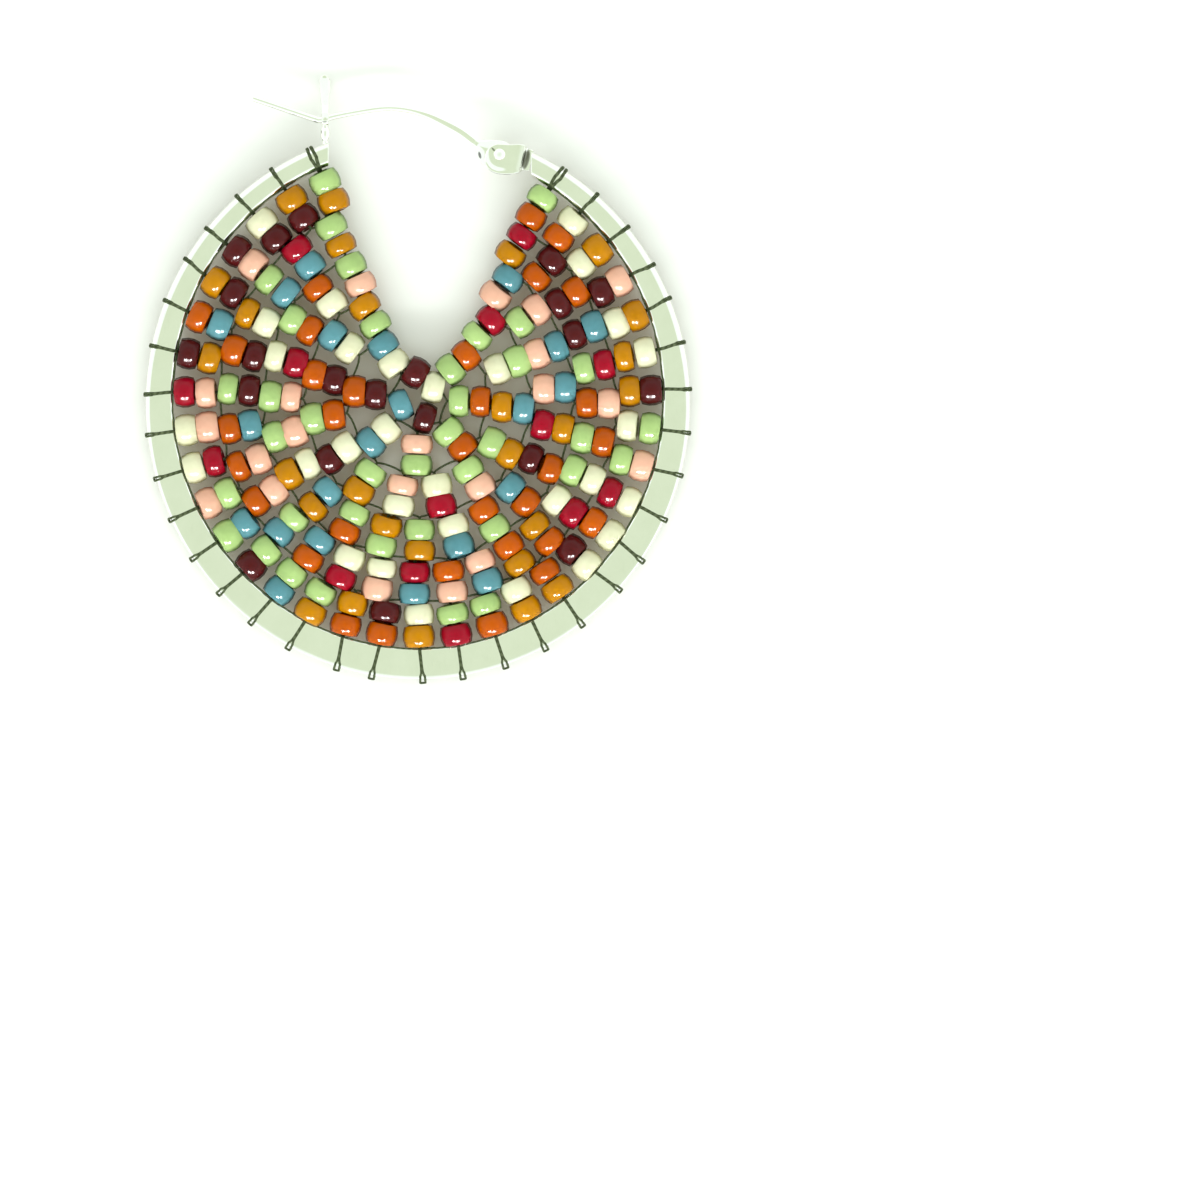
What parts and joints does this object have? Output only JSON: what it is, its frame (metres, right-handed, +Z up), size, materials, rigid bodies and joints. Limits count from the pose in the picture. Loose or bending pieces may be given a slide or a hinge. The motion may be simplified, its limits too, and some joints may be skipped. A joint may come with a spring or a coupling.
{
  "type": "beaded hoop earring",
  "caption": "Open metal hoop earring filled with brick-stitched seed beads round a teardrop opening, with a hinged ear wire that springs into a fork catch.",
  "frame": {"origin": "middle of the earring's outline on the surface that it lies on", "axes": "+Z up from the surface and out of the hoop's front, +Y up the hoop to the ear wire, +X from the catch to the hinge"},
  "size_m": [0.0514, 0.0569, 0.0049],
  "materials": {
    "hoop_metal": "polished silver plate",
    "hinge_metal": "polished silver plate",
    "wire_metal": "polished silver wire",
    "glass_beads": "opaque glossy glass in eight colours",
    "thread": "waxed nylon thread"
  },
  "bodies": {
    "hoop": {"hoop_frame": "hoop_metal", "bead_panel": "glass_beads", "hinge_bracket": "hinge_metal", "hinge_pin": "hinge_metal"},
    "ear_wire": {"ear_wire": "wire_metal"}
  },
  "joints": [
    {"name": "ear_wire_hinge", "type": "hinge", "parent": "hoop", "child": "ear_wire", "pos_m": [0.0077, 0.02107, 0.00225], "axis": [0.0046, -0.0171, 0.9998], "range_deg": [-80, 0]}
  ]
}
